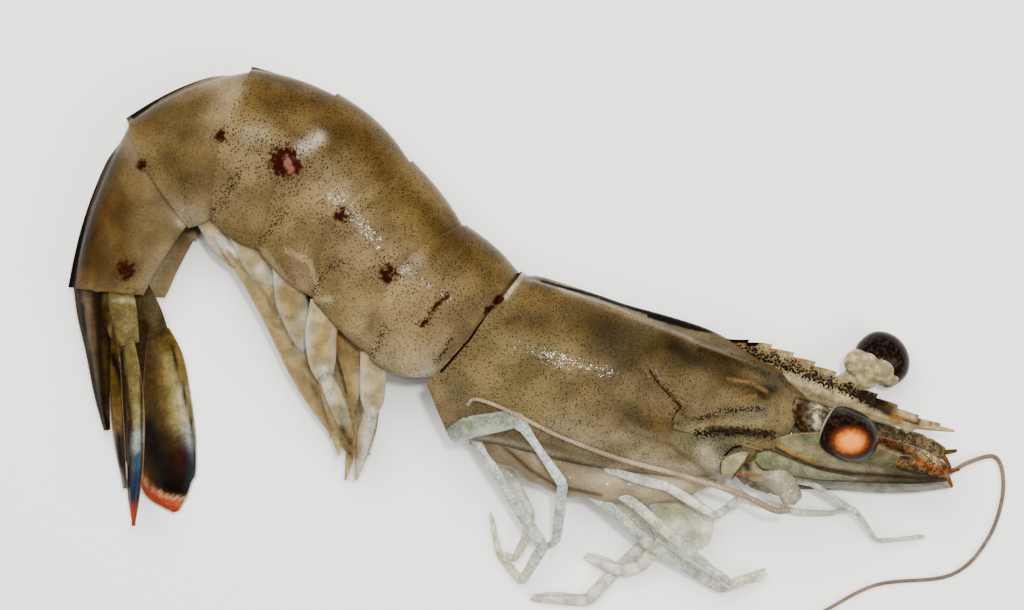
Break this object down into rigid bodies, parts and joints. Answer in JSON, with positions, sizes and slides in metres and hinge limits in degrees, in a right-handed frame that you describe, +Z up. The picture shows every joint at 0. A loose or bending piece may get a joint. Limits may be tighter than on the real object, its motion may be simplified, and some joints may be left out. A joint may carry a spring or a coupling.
{
  "type": "western king prawn",
  "caption": "Life-size still model of a live western king prawn lying on its left side, abdomen curled under, with saw-toothed rostrum, legs, feelers and dark-tipped blue-edged tail fan.",
  "frame": {"origin": "centre of the small flat on the carapace's left side that lies on the floor, z = 0 at the floor", "axes": "+X towards the rostrum's tip along the floor, +Y towards the animal's back, +Z up, the way its right side faces"},
  "size_m": [0.1139, 0.0716, 0.0173],
  "materials": {
    "shell": "wet translucent olive-brown shell with fine dark dots, painted under a gloss coat",
    "underside": "wet pale translucent underside",
    "legs": "wet bluish-white translucent walking legs",
    "swimmerets": "wet pale yellowish translucent swimmerets",
    "tail_fan": "olive-brown to black tail fan with blue edges and red-orange tips, glossy",
    "eyes": "polished black-brown eye with an orange glow",
    "eyestalks": "mottled brown and pale glassy stalk",
    "antennal_scales": "grey-green translucent scales with dark edges and dots",
    "feelers": "pinkish-brown ringed feelers"
  },
  "bodies": {
    "root": {"carapace": "shell", "head": "shell", "abdomen_1": "shell", "abdomen_2": "shell", "abdomen_3": "shell", "abdomen_4": "shell", "abdomen_5": "shell", "abdomen_6": "shell", "thorax": "underside", "leg_right_1": "legs", "leg_right_2": "legs", "leg_right_3": "legs", "leg_right_4": "legs", "leg_right_5": "legs", "maxilliped_right": "legs", "swimmeret_right_1": "swimmerets", "swimmeret_right_2": "swimmerets", "swimmeret_right_3": "swimmerets", "swimmeret_right_4": "swimmerets", "swimmeret_right_5": "swimmerets", "uropod_right_base": "tail_fan", "uropod_right_outer": "tail_fan", "uropod_right_inner": "tail_fan", "eye_right": "eyes", "eyestalk_right": "eyestalks", "antenna_base_right": "antennal_scales", "antenna_scale_right": "antennal_scales", "antennule_right": "antennal_scales", "leg_left_1": "legs", "leg_left_2": "legs", "leg_left_3": "legs", "leg_left_4": "legs", "leg_left_5": "legs", "maxilliped_left": "legs", "swimmeret_left_1": "swimmerets", "swimmeret_left_2": "swimmerets", "swimmeret_left_3": "swimmerets", "swimmeret_left_4": "swimmerets", "swimmeret_left_5": "swimmerets", "uropod_left_base": "tail_fan", "uropod_left_outer": "tail_fan", "uropod_left_inner": "tail_fan", "eye_left": "eyes", "eyestalk_left": "eyestalks", "antenna_base_left": "antennal_scales", "antenna_scale_left": "antennal_scales", "antennule_left": "antennal_scales", "telson": "tail_fan", "feeler_right_1": "feelers", "feeler_right_2": "feelers", "feeler_left_1": "feelers", "feeler_left_2": "feelers", "feeler_left_3": "feelers", "feeler_left_4": "feelers"}
  },
  "joints": []
}
